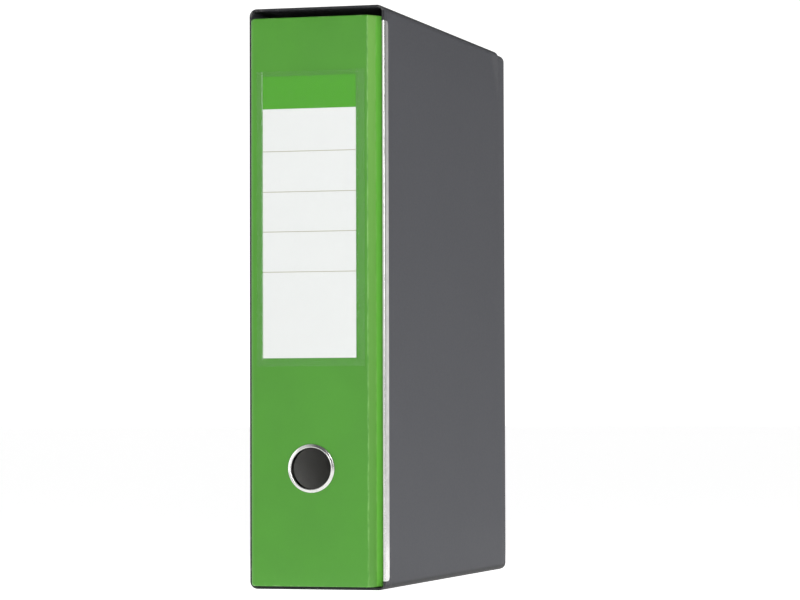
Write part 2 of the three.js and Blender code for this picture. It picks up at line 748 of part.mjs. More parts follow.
function buildLever() {
  // In the lever's own frame x runs from the pivot towards the grip and y away from the plate.
  const lever = new THREE.Group();
  lever.position.set(LEVER_RISE, LEVER_REACH, 0);
  lever.rotation.z = THREE.MathUtils.degToRad(LEVER_REST_DEGREES - 90);
  mechanism.add(lever);

  const cheek = polygon([
    [-LEVER_TAIL, -2],
    [-3, -LEVER_TOP],
    [3, -LEVER_TOP],
    [24, -3.2],
    [LEVER_PLATE_END - 2, 2.6],
    [LEVER_PLATE_END, LEVER_TOP],
    [-LEVER_TAIL, LEVER_TOP],
  ]);
  withHole(cheek, 0, 0, LEVER_PIN_HOLE);
  withHole(cheek, ROLLER_ALONG, -ROLLER_BELOW, ROLLER_PIN_HOLE);
  const inside = LEVER_HALF_WIDTH - LEVER_SHEET;
  const channel = join(
    alongZ(cheek, [-LEVER_HALF_WIDTH, -inside], 5),
    alongZ(cheek, [inside, LEVER_HALF_WIDTH], 5),
    block(
      [-LEVER_TAIL, LEVER_PLATE_END],
      [LEVER_TOP - LEVER_SHEET, LEVER_TOP],
      [-LEVER_HALF_WIDTH, LEVER_HALF_WIDTH],
    ),
  );
  addPiece('lever', channel, MATERIALS.nickel, lever);

  const grip = aboutZ(turned([
    [0, -GRIP_HALF_LENGTH],
    [GRIP_RADIUS - 1, -GRIP_HALF_LENGTH],
    [GRIP_RADIUS, 1 - GRIP_HALF_LENGTH],
    [GRIP_RADIUS, GRIP_HALF_LENGTH - 1],
    [GRIP_RADIUS - 1, GRIP_HALF_LENGTH],
    [0, GRIP_HALF_LENGTH],
  ], 18));
  grip.translate(GRIP_ALONG, LEVER_TOP - GRIP_RADIUS + 0.6, 0);
  addPiece('lever_grip', grip, MATERIALS.blackPlastic, lever);

  const pinHalf = LEVER_HALF_WIDTH + 0.5;
  const pin = aboutZ(rod(ROLLER_PIN_RADIUS, [-pinHalf, pinHalf], 14));
  addPiece(
    'roller_pin',
    pin.translate(ROLLER_ALONG, -ROLLER_BELOW, 0),
    MATERIALS.springSteel,
    lever,
  );

  const rollerHalf = inside - 1;
  const roller = aboutZ(turned([
    [ROLLER_BORE, -rollerHalf],
    [ROLLER_RADIUS, -rollerHalf],
    [ROLLER_RADIUS, rollerHalf],
    [ROLLER_BORE, rollerHalf],
  ], 20));
  addPiece(
    'lever_roller',
    roller.translate(ROLLER_ALONG, -ROLLER_BELOW, 0),
    MATERIALS.springSteel,
    lever,
  );
}

function buildCompressor() {
  const bar = [BAR_BOTTOM, BAR_BOTTOM + BAR_SHEET];
  const outline = roundedRectangle(
    [POST_REACH - BAR_HALF_WIDTH, POST_REACH + BAR_HALF_WIDTH],
    [-BAR_HALF_LENGTH, BAR_HALF_LENGTH],
    [BAR_CORNER, BAR_CORNER, BAR_CORNER, BAR_CORNER],
  );
  for (const side of [-1, 1]) {
    withHole(outline, POST_REACH, side * POST_SPACING / 2, SLEEVE_RADIUS + GAP);
  }
  addPiece('compressor_bar', alongX(outline, bar, 5), MATERIALS.nickel, mechanism);

  [['lower', -1], ['upper', 1]].forEach(([name, side]) => {
    const collarTop = bar[0] - GAP;
    const collarFoot = collarTop - COLLAR_HEIGHT;
    const slider = aboutX(turned([
      [SLEEVE_BORE, collarFoot],
      [COLLAR_RADIUS, collarFoot],
      [COLLAR_RADIUS, collarTop],
      [SLEEVE_RADIUS, collarTop],
      [SLEEVE_RADIUS, bar[1] + SLEEVE_ABOVE],
      [SLEEVE_BORE, bar[1] + SLEEVE_ABOVE],
    ], 18));
    slider.translate(0, POST_REACH, side * POST_SPACING / 2);
    addPiece(`compressor_slider_${name}`, slider, MATERIALS.blackPlastic, mechanism);
  });
}

buildCase();
buildEdgeGuard();
buildCovers();
buildFingerRing();
buildLabel();
buildPlate();
buildRivets();
buildPosts();
buildSaddles();
buildArchWire();
buildLeverBracket();
buildLeafSpring();
buildLever();
buildCompressor();

export default part;
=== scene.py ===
"""A lever arch file in its slipcase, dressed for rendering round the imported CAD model.

Mesh code works in millimetres, in the model's own frame, and make_piece() turns it into metres.
"""

import math

import bmesh
import bpy
from mathutils import Matrix, Vector, noise


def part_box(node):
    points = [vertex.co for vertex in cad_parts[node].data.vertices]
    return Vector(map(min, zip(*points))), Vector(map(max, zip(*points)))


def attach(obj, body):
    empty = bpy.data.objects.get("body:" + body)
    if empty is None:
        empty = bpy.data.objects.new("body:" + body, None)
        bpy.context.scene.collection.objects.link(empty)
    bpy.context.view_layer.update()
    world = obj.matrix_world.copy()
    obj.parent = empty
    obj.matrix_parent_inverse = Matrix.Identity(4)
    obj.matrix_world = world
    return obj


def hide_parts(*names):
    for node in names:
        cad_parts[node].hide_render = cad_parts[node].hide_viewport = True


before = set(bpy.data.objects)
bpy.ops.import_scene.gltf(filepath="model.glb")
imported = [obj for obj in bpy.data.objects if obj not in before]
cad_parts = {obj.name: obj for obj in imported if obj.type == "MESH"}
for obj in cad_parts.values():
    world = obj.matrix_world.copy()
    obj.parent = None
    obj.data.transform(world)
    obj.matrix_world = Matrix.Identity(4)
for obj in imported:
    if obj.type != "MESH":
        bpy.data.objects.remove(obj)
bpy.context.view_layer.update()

MM = 0.001
HALF_TURN = math.pi
QUARTER_TURN = math.pi / 2


def box_mm(node):
    """The lowest and highest corner of a CAD node, in millimetres."""
    low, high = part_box(node)
    return low / MM, high / MM


# ---- Places, all from the CAD nodes ----

WRAP_LOW, WRAP_HIGH = box_mm("case_wrap")
CASE_LEFT, CASE_FRONT = WRAP_LOW.x, WRAP_LOW.y
CASE_RIGHT, CASE_BACK = WRAP_HIGH.x, WRAP_HIGH.y
CASE_BOTTOM = box_mm("case_bottom")[0].z
CASE_TOP = box_mm("case_top")[1].z
TOP_BOARD_END = box_mm("case_top")[1].y
REAR_TOP = box_mm("case_rear_flap")[1].z
CASE_BOARD = 1.6
CASE_FOLD = 4.5
CASE_INNER_FOLD = 2.4
CASE_INNER_FOOT = 1.1  # tighter than the top's, so the file's corners stand clear of it
CASE_REAR_FOLD = 2.2
CASE_REAR_CHAMFER = 0.6

GUARD_LOW, GUARD_HIGH = box_mm("case_edge_guard")
GUARD_SHEET = 0.3
GUARD_CORNER = 3.0

COVER_LOW, COVER_HIGH = box_mm("cover_wrap")
SPINE_RIGHT = box_mm("spine_board")[1].x + 0.6
HINGE_END = box_mm("front_cover_board")[0].y - 0.6
HINGE_KNEE = (SPINE_RIGHT + 3.7, COVER_LOW.y + 5.0)
COVER_THICKNESS = 2.42
LINING_LOW, LINING_HIGH = box_mm("inner_lining")

RING_LOW, RING_HIGH = box_mm("finger_ring")
RING_CENTRE = (RING_LOW + RING_HIGH) / 2
RING_HOLE = 12.25
RING_OPENING = 13.3  # the hole in the cover and lining that the ring's barrel passes
CARD_LOW, CARD_HIGH = box_mm("label_card")
POCKET_LOW, POCKET_HIGH = box_mm("label_pocket")
RIVETS = [box_mm(f"rivet_{number}") for number in range(1, 5)]


# ---- Materials ----

class Shader:
    """A procedural material: one Principled shader and the nodes that drive it."""

    def __init__(self, name, **constants):
        self.material = bpy.data.materials.new(name)
        self.material.use_nodes = True
        self.tree = self.material.node_tree
        self.surface = self.tree.nodes["Principled BSDF"]
        self.place = self.node("ShaderNodeTexCoord").outputs["Object"]
        for socket, value in constants.items():
            self.surface.inputs[socket.replace("_", " ")].default_value = value

    def node(self, kind, **settings):
        made = self.tree.nodes.new(kind)
        for setting, value in settings.items():
            setattr(made, setting, value)
        return made

    def feed(self, socket, value):
        if isinstance(value, bpy.types.NodeSocket):
            self.tree.links.new(value, socket)
        else:
            socket.default_value = value

    def noise(self, per_metre, detail=3.0, rough=0.5, stretch=(1, 1, 1), warp=0.0):
        mapping = self.node("ShaderNodeMapping")
        self.feed(mapping.inputs["Vector"], self.place)
        mapping.inputs["Scale"].default_value = stretch
        texture = self.node("ShaderNodeTexNoise")
        self.feed(texture.inputs["Vector"], mapping.outputs[0])
        texture.inputs["Scale"].default_value = per_metre
        texture.inputs["Detail"].default_value = detail
        texture.inputs["Roughness"].default_value = rough
        texture.inputs["Distortion"].default_value = warp
        return texture.outputs["Fac"]

    def cells(self, per_metre, stretch=(1, 1, 1)):
        mapping = self.node("ShaderNodeMapping")
        self.feed(mapping.inputs["Vector"], self.place)
        mapping.inputs["Scale"].default_value = stretch
        texture = self.node("ShaderNodeTexVoronoi")
        self.feed(texture.inputs["Vector"], mapping.outputs[0])
        texture.inputs["Scale"].default_value = per_metre
        return texture.outputs["Distance"]

    def attribute(self, name):
        return self.node("ShaderNodeAttribute", attribute_name=name).outputs["Fac"]

    def spread(self, value, low, high, to_low=0.0, to_high=1.0):
        """value, taken from low..high to to_low..to_high and kept inside it."""
        mapping = self.node("ShaderNodeMapRange", clamp=True)
        self.feed(mapping.inputs["Value"], value)
        for socket, number in zip(("From Min", "From Max", "To Min", "To Max"), (low, high, to_low, to_high)):
            mapping.inputs[socket].default_value = number
        return mapping.outputs["Result"]

    def maths(self, operation, first, second=0.0):
        made = self.node("ShaderNodeMath", operation=operation)
        self.feed(made.inputs[0], first)
        self.feed(made.inputs[1], second)
        return made.outputs[0]

    def mix(self, share, first, second):
        """The colour first, turning into second as share goes from 0 to 1."""
        made = self.node("ShaderNodeMix", data_type="RGBA")
        self.feed(made.inputs["Factor"], share)
        for socket, value in (("A", first), ("B", second)):
            target = [s for s in made.inputs if s.name == socket and s.type == "RGBA"][0]
            self.feed(target, value if isinstance(value, bpy.types.NodeSocket) else (*value, 1.0))
        return [s for s in made.outputs if s.type == "RGBA"][0]

    def bumps(self, *layers):
        """Adds height layers, each (height, depth in mm), to the surface's normal."""
        normal = None
        for height, depth in layers:
            made = self.node("ShaderNodeBump")
            made.inputs["Strength"].default_value = 1.0
            made.inputs["Distance"].default_value = depth * MM
            self.feed(made.inputs["Height"], height)
            if normal is not None:
                self.feed(made.inputs["Normal"], normal)
            normal = made.outputs[0]
        self.feed(self.surface.inputs["Normal"], normal)

    def colour(self, value):
        self.feed(self.surface.inputs["Base Color"], value)

    def roughness(self, value):
        self.feed(self.surface.inputs["Roughness"], value)


def tinted(colour, factor):
    return tuple(channel * factor for channel in colour)


def board_paper():
    """Dark-grey covering paper with a fine grain, worn paler at its edges, with painted shade darkening its folds."""
    shader = Shader("board_paper", Specular_IOR_Level=0.28)
    grey = (0.066, 0.068, 0.078)
    blotch = shader.spread(shader.noise(14, 2), 0.3, 0.7)
    colour = shader.mix(blotch, tinted(grey, 0.98), tinted(grey, 1.02))
    fibre = shader.noise(1500, 3, 0.6, (1, 1, 0.6))
    colour = shader.mix(shader.spread(fibre, 0.55, 0.75, 0, 0.16), colour, tinted(grey, 1.5))
    pores = shader.spread(shader.noise(1600, 2), 0.25, 0.42, 0.3, 0)
    colour = shader.mix(pores, colour, tinted(grey, 0.5))
    # painted shade: the crowns of the case's long folds are darkened almost to black
    fold = shader.attribute("fold")
    colour = shader.mix(shader.maths("MULTIPLY", fold, 0.95), colour, (0.006, 0.006, 0.007))
    colour = shader.mix(shader.maths("MULTIPLY", shader.attribute("rim"), 0.85), colour, (0.010, 0.011, 0.012))
    scuffs = shader.spread(shader.noise(240, 5, 0.7), 0.5, 0.72)
    worn = shader.maths("MULTIPLY", shader.attribute("wear"), scuffs)
    colour = shader.mix(worn, colour, (0.23, 0.225, 0.22))
    shader.colour(colour)
    shader.roughness(shader.spread(fibre, 0.3, 0.7, 0.58, 0.68))
    shader.bumps((shader.noise(1400, 3, 0.6), 0.015), (fibre, 0.01))
    return shader.material


def green_laminate():
    """Green plastic-laminated paper: a smooth satin skin with a faint orange peel; painted light makes the hinge
    strip's bevels paler.
    """
    shader = Shader("green_laminate", Specular_IOR_Level=0.5)
    green = (0.045, 0.226, 0.0075)
    blotch = shader.spread(shader.noise(35, 3), 0.3, 0.7)
    colour = shader.mix(blotch, tinted(green, 0.96), tinted(green, 1.05))
    fine = shader.noise(1300, 2)
    colour = shader.mix(shader.spread(fine, 0.3, 0.7, 0, 0.12), colour, tinted(green, 0.7))
    # painted light: the hinge strip's first bevel is painted paler, palest at its top, where light falls on it
    colour = shader.mix(shader.attribute("bevel"), colour, (0.166, 0.42, 0.071))
    # painted light: the second bevel is painted paler than the spine, in place of light that does not reach it past
    # the guard
    colour = shader.mix(shader.attribute("far_bevel_painted_light"), colour, (0.155, 0.53, 0.062))
    # partly real stress whitening and partly a painted highlight along the cover's folds
    crease_whitening_and_highlight = shader.attribute("crease_whitening_and_highlight")
    whitening_and_highlight_breakup = shader.spread(shader.noise(500, 4, 0.6, (1, 1, 0.25)), 0.4, 0.65)
    colour = shader.mix(shader.maths("MULTIPLY", crease_whitening_and_highlight, whitening_and_highlight_breakup), colour, (0.24, 0.50, 0.13))
    # rubbed wear and a painted edge highlight along the cover's top, bottom and rear edges
    rubbed_wear_and_highlight = shader.spread(shader.noise(300, 5, 0.7), 0.52, 0.70, 0, 0.6)
    colour = shader.mix(shader.maths("MULTIPLY", shader.attribute("wear"), rubbed_wear_and_highlight), colour, (0.30, 0.50, 0.20))
    shader.colour(colour)
    smudge = shader.noise(60, 5, 0.6)
    shader.roughness(shader.spread(smudge, 0.3, 0.7, 0.34, 0.46))
    shader.bumps((shader.noise(380, 2, 0.4), 0.02), (fine, 0.004))
    return shader.material


def lining_paper():
    """Off-white lining paper with a soft fibrous tooth."""
    shader = Shader("lining_paper", Specular_IOR_Level=0.25)
    white = (0.86, 0.855, 0.83)
    colour = shader.mix(shader.spread(shader.noise(28, 4), 0.3, 0.7), tinted(white, 0.93), white)
    fibre = shader.noise(1100, 3, 0.65, (1, 0.4, 1))
    colour = shader.mix(shader.spread(fibre, 0.58, 0.75, 0, 0.3), colour, (0.50, 0.47, 0.42))
    shader.colour(colour)
    shader.roughness(shader.spread(fibre, 0.3, 0.7, 0.70, 0.85))
    shader.bumps((fibre, 0.03))
    return shader.material


def label_paper():
    """Bright white uncoated card."""
    shader = Shader("label_paper", Specular_IOR_Level=0.3)
    white = (0.67, 0.67, 0.675)
    colour = shader.mix(shader.spread(shader.noise(60, 4), 0.3, 0.7), tinted(white, 0.99), white)
    fibre = shader.noise(1800, 3, 0.6)
    colour = shader.mix(shader.spread(fibre, 0.6, 0.78, 0, 0.15), colour, (0.58, 0.575, 0.56))
    shader.colour(colour)
    shader.roughness(shader.spread(fibre, 0.3, 0.7, 0.55, 0.70))
    shader.bumps((fibre, 0.008))
    return shader.material


def label_print(name, ink):
    """Ink printed on the label card: even, with a little of the card's tooth in it."""
    shader = Shader(name, Specular_IOR_Level=0.2)
    grain = shader.noise(2200, 2)
    colour = shader.mix(shader.spread(grain, 0.55, 0.8, 0, 0.18), tinted(ink, 1.0), tinted(ink, 1.25))
    shader.colour(shader.mix(shader.spread(shader.noise(45, 3), 0.3, 0.7, 0, 0.08), colour, tinted(ink, 0.85)))
    shader.roughness(shader.spread(grain, 0.3, 0.7, 0.42, 0.56))
    shader.bumps((grain, 0.005))
    return shader.material


def clear_film():
    """Clear welded film: it lets light straight through, mirrors a little of it, and is faintly hazy and scuffed."""
    shader = Shader("clear_film", Specular_IOR_Level=0.5)
    shader.colour(shader.mix(shader.noise(50, 2), (0.90, 0.97, 0.88), (1.0, 1.0, 1.0)))
    shader.roughness(0.5)
    clear = shader.node("ShaderNodeBsdfTransparent")
    clear.inputs["Color"].default_value = (0.995, 1.0, 0.995, 1)
    gloss = shader.node("ShaderNodeBsdfGlossy")
    shader.feed(gloss.inputs["Roughness"], shader.spread(shader.noise(420, 5, 0.65), 0.35, 0.75, 0.06, 0.18))
    fresnel = shader.node("ShaderNodeFresnel")
    fresnel.inputs["IOR"].default_value = 1.45
    ripple = shader.node("ShaderNodeBump")
    ripple.inputs["Distance"].default_value = 0.03 * MM
    shader.feed(ripple.inputs["Height"], shader.noise(70, 2, 0.3))
    shader.feed(gloss.inputs["Normal"], ripple.outputs[0])
    shader.feed(fresnel.inputs["Normal"], ripple.outputs[0])
    mirror = shader.node("ShaderNodeMixShader")
    shader.feed(mirror.inputs[0], shader.maths("MULTIPLY", fresnel.outputs[0], 0.22))
    shader.feed(mirror.inputs[1], clear.outputs[0])
    shader.feed(mirror.inputs[2], gloss.outputs[0])
    haze = shader.node("ShaderNodeMixShader")
    weld = shader.maths("MULTIPLY", shader.attribute("weld"), 0.006)
    scuff = shader.spread(shader.noise(300, 5, 0.7), 0.4, 0.75, 0.0, 0.008)
    shader.feed(haze.inputs[0], shader.maths("ADD", weld, scuff))
    shader.feed(haze.inputs[1], mirror.outputs[0])
    shader.feed(haze.inputs[2], shader.surface.outputs[0])
    shader.feed(shader.tree.nodes["Material Output"].inputs["Surface"], haze.outputs[0])
    return shader.material


def nickel_plate():
    """Bright nickel plate on pressed steel, with hairline rubbing marks and a little tarnish."""
    shader = Shader("nickel_plate", Metallic=1.0)
    nickel = (0.63, 0.627, 0.615)
    tarnish = shader.spread(shader.noise(160, 5, 0.65), 0.35, 0.70)
    colour = shader.mix(tarnish, nickel, tinted(nickel, 0.85))
    specks = shader.spread(shader.noise(1500, 2), 0.68, 0.78, 0, 0.5)
    shader.colour(shader.mix(specks, colour, (0.25, 0.23, 0.20)))
    hairlines = shader.noise(700, 4, 0.7, (1, 1, 0.08))
    rough = shader.maths("ADD", shader.spread(tarnish, 0, 1, 0.14, 0.24), shader.spread(hairlines, 0.4, 0.7, 0, 0.07))
    shader.roughness(rough)
    shader.bumps((hairlines, 0.003), (shader.noise(220, 2), 0.01))
    return shader.material


def spring_steel():
    """Blued strip and turned steel: darker, with drawn lines along its length."""
    shader = Shader("spring_steel", Metallic=1.0)
    steel = (0.36, 0.37, 0.40)
    drawn = shader.noise(1400, 3, 0.6, (0.06, 1, 1))
    colour = shader.mix(shader.spread(drawn, 0.3, 0.7), tinted(steel, 0.8), tinted(steel, 1.15))
    heat = shader.spread(shader.noise(90, 3), 0.45, 0.7, 0, 0.35)
    shader.colour(shader.mix(heat, colour, (0.30, 0.27, 0.24)))
    shader.roughness(shader.spread(drawn, 0.3, 0.7, 0.24, 0.38))
    shader.bumps((drawn, 0.005))
    return shader.material


def black_plastic():
    """Moulded black plastic with a fine spark-eroded grain, polished where fingers rub it."""
    shader = Shader("black_plastic", Specular_IOR_Level=0.5)
    black = (0.013, 0.014, 0.016)
    grain = shader.noise(1500, 2, 0.5)
    colour = shader.mix(shader.spread(grain, 0.35, 0.65), tinted(black, 0.8), tinted(black, 1.5))
    dust = shader.spread(shader.noise(500, 4, 0.7), 0.62, 0.75, 0, 0.12)
    shader.colour(shader.mix(dust, colour, (0.20, 0.19, 0.18)))
    shader.roughness(shader.spread(shader.noise(180, 4), 0.3, 0.7, 0.36, 0.52))
    shader.bumps((grain, 0.02))
    return shader.material


BOARD_PAPER = board_paper()
GREEN_LAMINATE = green_laminate()
LINING_PAPER = lining_paper()
LABEL_PAPER = label_paper()
LABEL_GREEN = label_print("label_green", (0.061, 0.297, 0.0145))
LABEL_RULE = label_print("label_rule", (0.37, 0.355, 0.265))
CLEAR_FILM = clear_film()
NICKEL = nickel_plate()
SPRING_STEEL = spring_steel()
BLACK_PLASTIC = black_plastic()


# ---- Mesh helpers ----

def make_piece(name, points, faces, body, replaced, materials, sharp_degrees=35, face_materials=None):
    """Builds a mesh from points in millimetres and makes it stand for CAD nodes on a body."""
    mesh = bpy.data.meshes.new(name)
    mesh.from_pydata([Vector(point) * MM for point in points], [], faces)
    for material in materials:
        mesh.materials.append(material)
    if face_materials:
        mesh.polygons.foreach_set("material_index", face_materials)
    build = bmesh.new()
    build.from_mesh(mesh)
    bmesh.ops.recalc_face_normals(build, faces=build.faces)
    build.to_mesh(mesh)
    build.free()
    mesh.shade_smooth()
    mesh.set_sharp_from_angle(angle=math.radians(sharp_degrees))
    piece = bpy.data.objects.new(name, mesh)
    bpy.context.scene.collection.objects.link(piece)
    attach(piece, body)
    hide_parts(*replaced)
    return piece


def paint(piece, name, value_at):
    """Stores value_at(point in millimetres) as a float on every point of the mesh."""
    attribute = piece.data.attributes.new(name, "FLOAT", "POINT")
    values = [value_at(vertex.co / MM) for vertex in piece.data.vertices]
    attribute.data.foreach_set("value", values)


def steps(count):
    """0 to 1 in count equal steps, both ends included."""
    return [index / count for index in range(count + 1)]


def smooth(low, high, value):
    """0 below low, 1 above high, and a smooth rise between them."""
    share = min(max((value - low) / (high - low), 0.0), 1.0)
    return share * share * (3 - 2 * share)


def ladder(first, second, closed=True):
    """Quads between two equally long rows of point numbers."""
    count = len(first)
    last = count if closed else count - 1
    return [(first[i], first[(i + 1) % count], second[(i + 1) % count], second[i]) for i in range(last)]


def loft(rings, closed=True):
    """Points and quads of a surface through equally long rings."""
    points, rows, faces = [], [], []
    for ring in rings:
        rows.append(range(len(points), len(points) + len(ring)))
        points.extend(ring)
    for first, second in zip(rows, rows[1:]):
        faces.extend(ladder(first, second, closed))
    return points, faces, rows


def carve(piece, *cutters):
    """Cuts other solids out of a piece, and removes them."""
    for cutter in cutters:
        change = piece.modifiers.new("cut", "BOOLEAN")
        change.operation = "DIFFERENCE"
        change.solver = "EXACT"
        change.object = cutter
    bpy.context.view_layer.update()
    evaluated = piece.evaluated_get(bpy.context.evaluated_depsgraph_get())
    carved = bpy.data.meshes.new_from_object(evaluated)
    piece.modifiers.clear()
    piece.data = carved
    carved.shade_smooth()
    carved.set_sharp_from_angle(angle=math.radians(35))
    for cutter in cutters:
        bpy.data.objects.remove(cutter)


def drum(centre, axis, radius, half_length, sides=64):
    """A plain cylinder used only as a cutter."""
    build = bmesh.new()
    bmesh.ops.create_cone(
        build, cap_ends=True, segments=sides, radius1=radius * MM, radius2=radius * MM, depth=2 * half_length * MM
    )
    mesh = bpy.data.meshes.new("cutter")
    build.to_mesh(mesh)
    build.free()
    cutter = bpy.data.objects.new("cutter", mesh)
    turn = Vector((0, 0, 1)).rotation_difference(Vector(axis)).to_matrix().to_4x4()
    cutter.matrix_world = Matrix.Translation(Vector(centre) * MM) @ turn
    bpy.context.scene.collection.objects.link(cutter)
    return cutter


def brick(across, deep, tall):
    """A plain block used only as a cutter."""
    low, high = Vector((across[0], deep[0], tall[0])), Vector((across[1], deep[1], tall[1]))
    build = bmesh.new()
    place = Matrix.Translation((low + high) / 2 * MM)
    size = (high - low) * MM
    bmesh.ops.create_cube(build, size=1, matrix=place @ Matrix.Diagonal((size.x, size.y, size.z, 1)))
    mesh = bpy.data.meshes.new("cutter")
    build.to_mesh(mesh)
    build.free()
    cutter = bpy.data.objects.new("cutter", mesh)
    bpy.context.scene.collection.objects.link(cutter)
    return cutter


def turned(profile, centre, axis, count=96, closed=True):
    """A closed [radius, height] outline turned about an axis through centre."""
    turn = Vector((0, 0, 1)).rotation_difference(Vector(axis)).to_matrix()
    middle = Vector(centre)
    rings = []
    for index in range(count):
        angle = 2 * HALF_TURN * index / count
        spoke = Vector((math.cos(angle), math.sin(angle), 0))
        rings.append([middle + turn @ (spoke * radius + Vector((0, 0, height))) for radius, height in profile])
    rows_points, faces, rows = loft(rings, closed)
    faces.extend(ladder(rows[-1], rows[0], closed))
    return rows_points, faces


# ---- Slipcase ----

RIM_SETBACK = 0.35  # the board's front edge lies behind the guard's front face
RIM_ROUND = 0.5
PANEL_BOW = 0.10  # how far the panels draw in between their folds
CORNER_STEPS = 8
SIDE_SPANS = 10


def fold_outline(inset, top, radius, bow, foot):
    """A rounded rectangle round the case's section, in x and z, with its sides drawn in by bow.

    radius rounds its two top corners and foot its two bottom ones.
    """
    left, right = CASE_LEFT + inset, CASE_RIGHT - inset
    low, high = CASE_BOTTOM + inset, top - inset
    corners = [
        (right - foot, low + foot, -QUARTER_TURN, foot),
        (right - radius, high - radius, 0, radius),
        (left + radius, high - radius, QUARTER_TURN, radius),
        (left + foot, low + foot, HALF_TURN, foot),
    ]
    outline = []
    for index, (x, z, start, rounding) in enumerate(corners):
        for share in steps(CORNER_STEPS):
            angle = start + share * QUARTER_TURN
            outline.append((x + rounding * math.cos(angle), z + rounding * math.sin(angle)))
        next_x, next_z, next_start, next_rounding = corners[(index + 1) % 4]
        here = outline[-1]
        there = (next_x + next_rounding * math.cos(next_start), next_z + next_rounding * math.sin(next_start))
        inward = (-math.cos(next_start), -math.sin(next_start))
        for share in steps(SIDE_SPANS)[1:-1]:
            draw = bow * math.sin(share * HALF_TURN)
            outline.append((
                here[0] + (there[0] - here[0]) * share + inward[0] * draw,
                here[1] + (there[1] - here[1]) * share + inward[1] * draw,
            ))
    return outline


def case_ring(y, inset, top, radius, bow, foot=None):
    return [(x, y, z) for x, z in fold_outline(inset, top, radius, bow, radius if foot is None else foot)]


def panel_bow(y):
    """The panels are straight at the rear fold and draw in most towards the middle of their depth."""
    share = (CASE_BACK - y) / (CASE_BACK - CASE_FRONT)
    return PANEL_BOW * math.sin(min(share * 1.25, 1.0) * HALF_TURN * 0.5) * smooth(0, 0.2, 1 - share + 0.02)


def build_slipcase():
    front = CASE_FRONT + RIM_SETBACK
    step = 0.12
    rings = []
    outer_stations = [front + RIM_ROUND + (TOP_BOARD_END - step - front - RIM_ROUND) * s for s in steps(12)]
    rear_start = CASE_BACK - CASE_REAR_FOLD
    for share in reversed(steps(4)[1:]):
        angle = share * QUARTER_TURN
        inset = RIM_ROUND * (1 - math.cos(angle))
        y = front + RIM_ROUND * (1 - math.sin(angle))
        rings.append((y, inset, CASE_TOP, CASE_FOLD - inset, 0))
    for y in outer_stations:
        rings.append((y, 0, CASE_TOP, CASE_FOLD, panel_bow(y)))
    for y in (TOP_BOARD_END + step, rear_start):
        rings.append((y, 0, REAR_TOP, CASE_FOLD, panel_bow(y)))
    for share in steps(8)[1:]:
        angle = share * QUARTER_TURN
        inset = CASE_REAR_FOLD * (1 - math.cos(angle))
        rings.append((rear_start + CASE_REAR_FOLD * math.sin(angle), inset, REAR_TOP, CASE_FOLD - inset, 0))
    rings.append((CASE_BACK, CASE_REAR_FOLD + 4, REAR_TOP, 1.0, 0))
    outer = [case_ring(*ring) for ring in rings]

    inner_rings = []
    for share in steps(4):
        angle = share * QUARTER_TURN
        inset = CASE_BOARD - RIM_ROUND * (1 - math.sin(angle))
        y = front + RIM_ROUND * (1 - math.cos(angle))
        shape = CASE_FOLD - (CASE_FOLD - CASE_INNER_FOLD) * inset / CASE_BOARD
        foot = CASE_FOLD - (CASE_FOLD - CASE_INNER_FOOT) * inset / CASE_BOARD
        inner_rings.append((y, inset, CASE_TOP, shape, 0, foot))
    inner_back = CASE_BACK - CASE_BOARD
    for y in outer_stations[1:]:
        inner_rings.append((y, CASE_BOARD, CASE_TOP, CASE_INNER_FOLD, panel_bow(y), CASE_INNER_FOOT))
    for y in (TOP_BOARD_END + step, inner_back - CASE_REAR_CHAMFER, inner_back):
        inset = CASE_BOARD + (CASE_REAR_CHAMFER if y == inner_back else 0)
        inner_rings.append((y, inset, REAR_TOP, CASE_INNER_FOLD, 0, CASE_INNER_FOOT))
    inner = [case_ring(*ring) for ring in inner_rings]

    points, faces, rows = loft([*reversed(outer), *inner])
    faces.append(tuple(rows[0]))
    faces.append(tuple(rows[-1]))
    piece = make_piece(
        "slipcase_shell", points, faces, "slipcase",
        ["case_wrap", "case_bottom", "case_top", "case_rear_flap"], [BOARD_PAPER],
    )

    seat = GUARD_HIGH.y + 0.2
    heights = (GUARD_LOW.z - 0.2, GUARD_HIGH.z + 0.2)
    carve(
        piece,
        brick((GUARD_HIGH.x - 0.6, GUARD_HIGH.x + 5), (front - 5, seat), heights),
        brick((GUARD_LOW.x - 5, GUARD_LOW.x + 0.6), (front - 5, seat), heights),
    )

    def fold(point):
        """Painted shade: 1 on the crown of the long folds, fading on to the panels."""
        from_side = min(point.x - CASE_LEFT, CASE_RIGHT - point.x)
        top = 1 - smooth(1.2, 2.6, CASE_TOP - point.z)
        bottom = 1 - smooth(2.8, 4.3, point.z - CASE_BOTTOM)
        return max(top, bottom) * (1 - smooth(6.0, 9.0, from_side))

    def rim(point):
        """1 on the dark front edge of the boards and on the inside just behind it."""
        return 1 - smooth(0.25, 0.6, point.y - front)

    def wear(point):
        from_side = min(point.x - CASE_LEFT, CASE_RIGHT - point.x)
        from_end = min(point.z - CASE_BOTTOM, CASE_TOP - point.z)
        from_front = point.y - front
        from_back = CASE_BACK - point.y
        edge = 1 - smooth(0.2, 2.0, from_front)
        corner = (1 - smooth(2, 9, from_end)) * (1 - smooth(1, 6, from_side))
        ends = max(1 - smooth(3, 18, from_front), 1 - smooth(3, 18, from_back))
        rear = 1 - smooth(0.8, 3.0, from_side + from_back)
        return min(1.0, 0.12 * edge + 0.5 * corner * ends + 0.25 * rear)

    paint(piece, "fold", fold)
    paint(piece, "rim", rim)
    paint(piece, "wear", wear)
    return piece


